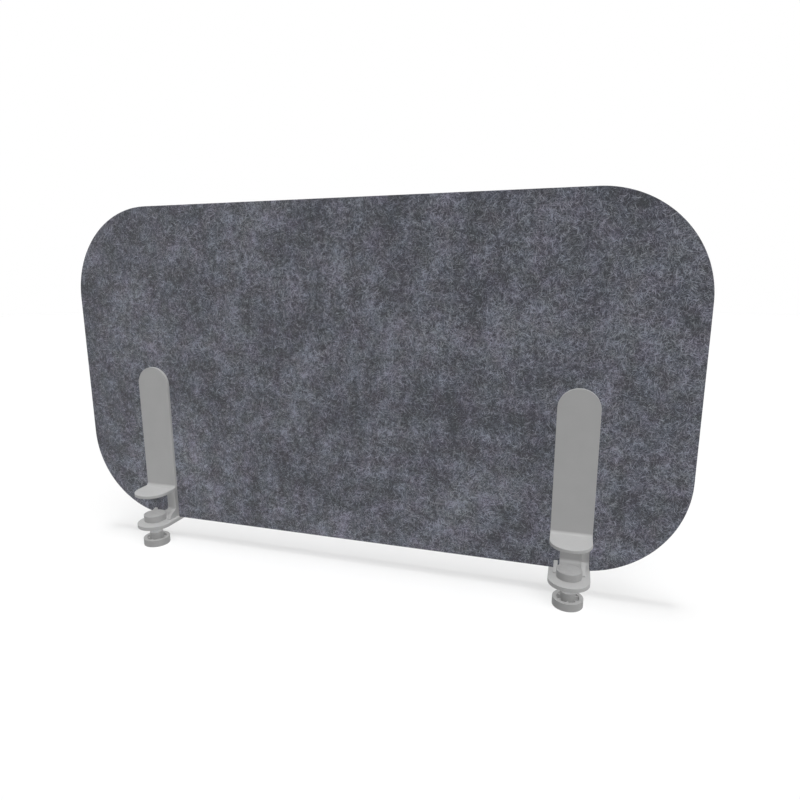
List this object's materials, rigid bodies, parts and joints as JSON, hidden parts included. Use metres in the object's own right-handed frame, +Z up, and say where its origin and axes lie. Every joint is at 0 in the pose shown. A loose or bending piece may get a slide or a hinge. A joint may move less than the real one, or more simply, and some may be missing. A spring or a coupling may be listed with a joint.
{
  "type": "desk divider screen",
  "caption": "Rounded rectangular felt screen with a notched lower edge, gripped between steel blades and held to a desk edge by screw clamps with round pads and cup-shaped knobs.",
  "frame": {"origin": "on the panel's front face, midway along it, at the level of the desk top", "axes": "+X along the panel to the right as the desk user sees it, +Y away from the desk user, +Z up"},
  "size_m": [1, 0.0901, 0.5773],
  "materials": {
    "felt": "needled felt with lighter fibres",
    "steel": "light grey powder coat, satin",
    "moulded": "light grey moulded, matt",
    "zinc": "zinc plated",
    "liner": "matt foam rubber",
    "facing": "matt grey rubber"
  },
  "bodies": {
    "screen": {"felt_front_board": "felt", "felt_rear_board": "felt", "panel_screws": "zinc", "front_blade_left": "steel", "jaw_liner_left": "liner", "lower_jaw_left": "steel", "web_left": "steel", "ear_left": "steel", "thread_bush_left": "zinc", "front_blade_right": "steel", "jaw_liner_right": "liner", "lower_jaw_right": "steel", "web_right": "steel", "ear_right": "steel", "thread_bush_right": "zinc"},
    "left_pad": {"pad_left": "moulded", "pad_facing_left": "facing"},
    "left_screw": {"spindle_left": "zinc", "knob_left": "moulded", "knob_screw_left": "zinc", "pad_clip_left": "zinc"},
    "right_pad": {"pad_right": "moulded", "pad_facing_right": "facing"},
    "right_screw": {"spindle_right": "zinc", "knob_right": "moulded", "knob_screw_right": "zinc", "pad_clip_right": "zinc"}
  },
  "joints": [
    {"name": "left_pad_lift", "type": "slide", "parent": "screen", "child": "left_pad", "axis": [0, 0, 1], "range_m": [-0.0033, 0.0112]},
    {"name": "left_screw_turn", "type": "hinge", "parent": "left_pad", "child": "left_screw", "pos_m": [-0.3602, -0.0279, -0.08], "axis": [0, 0, 1], "range_deg": [-297, 1008]},
    {"name": "right_pad_lift", "type": "slide", "parent": "screen", "child": "right_pad", "axis": [0, 0, 1], "range_m": [-0.0033, 0.0112]},
    {"name": "right_screw_turn", "type": "hinge", "parent": "right_pad", "child": "right_screw", "pos_m": [0.3454, -0.0279, -0.08], "axis": [0, 0, 1], "range_deg": [-297, 1008]}
  ],
  "couplings": [
    {"joint": "left_screw_turn", "follows": "left_pad_lift", "rad_per_m": 1570.8},
    {"joint": "right_screw_turn", "follows": "right_pad_lift", "rad_per_m": 1570.8}
  ]
}
